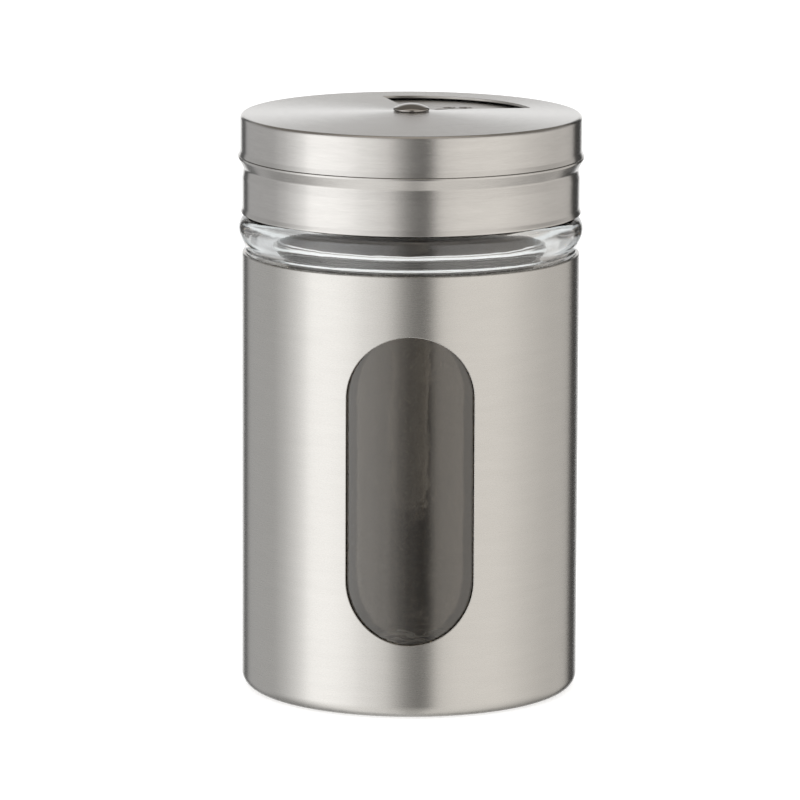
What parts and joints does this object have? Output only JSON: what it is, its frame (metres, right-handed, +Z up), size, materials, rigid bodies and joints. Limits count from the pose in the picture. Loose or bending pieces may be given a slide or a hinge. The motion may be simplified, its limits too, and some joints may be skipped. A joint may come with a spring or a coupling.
{
  "type": "spice shaker",
  "caption": "Glass spice shaker in a brushed-steel sleeve with a window, closed by a screw-on steel sifter lid under a riveted dial that turns to fine, coarse, pouring or closed.",
  "frame": {"origin": "centre of the foot, on the surface that the shaker stands on", "axes": "+Z up along the jar's axis, -Y out through the middle of the sleeve's window, +X to the right as the picture shows the shaker"},
  "size_m": [0.0516, 0.0516, 0.0882],
  "materials": {
    "sleeve_steel": "fine brushing round the sleeve",
    "cap_steel": "fine brushing round the skirt and the top",
    "rivet_steel": "smooth, bright",
    "washer_steel": "plain spring steel",
    "jar_glass": "clear, pressed",
    "ring_plastic": "moulded, satin",
    "seal_foam": "soft closed-cell liner",
    "pad_foam": "soft closed-cell foam, pale"
  },
  "bodies": {
    "jar": {"steel_sleeve": "sleeve_steel", "foam_ring": "pad_foam", "glass_jar": "jar_glass"},
    "lid_lift": {"lid_seal": "seal_foam"},
    "lid": {"thread_ring": "ring_plastic", "sifter_cap": "cap_steel", "spring_washer": "washer_steel", "rivet": "rivet_steel", "tail_washer": "washer_steel"},
    "dial": {"dial_cap": "cap_steel"}
  },
  "joints": [
    {"name": "lid_rise", "type": "slide", "parent": "jar", "child": "lid_lift", "axis": [0, 0, 1], "range_m": [0, 0.01261]},
    {"name": "lid_unscrew", "type": "hinge", "parent": "lid_lift", "child": "lid", "pos_m": [0, 0, 0.0786], "axis": [0, 0, 1], "range_deg": [0, 1080]},
    {"name": "dial_turn", "type": "hinge", "parent": "lid", "child": "dial", "pos_m": [0, 0, 0.087], "axis": [0, 0, 1], "continuous": true}
  ],
  "couplings": [
    {"joint": "lid_rise", "follows": "lid_unscrew", "m_per_rad": 0.00066845}
  ]
}
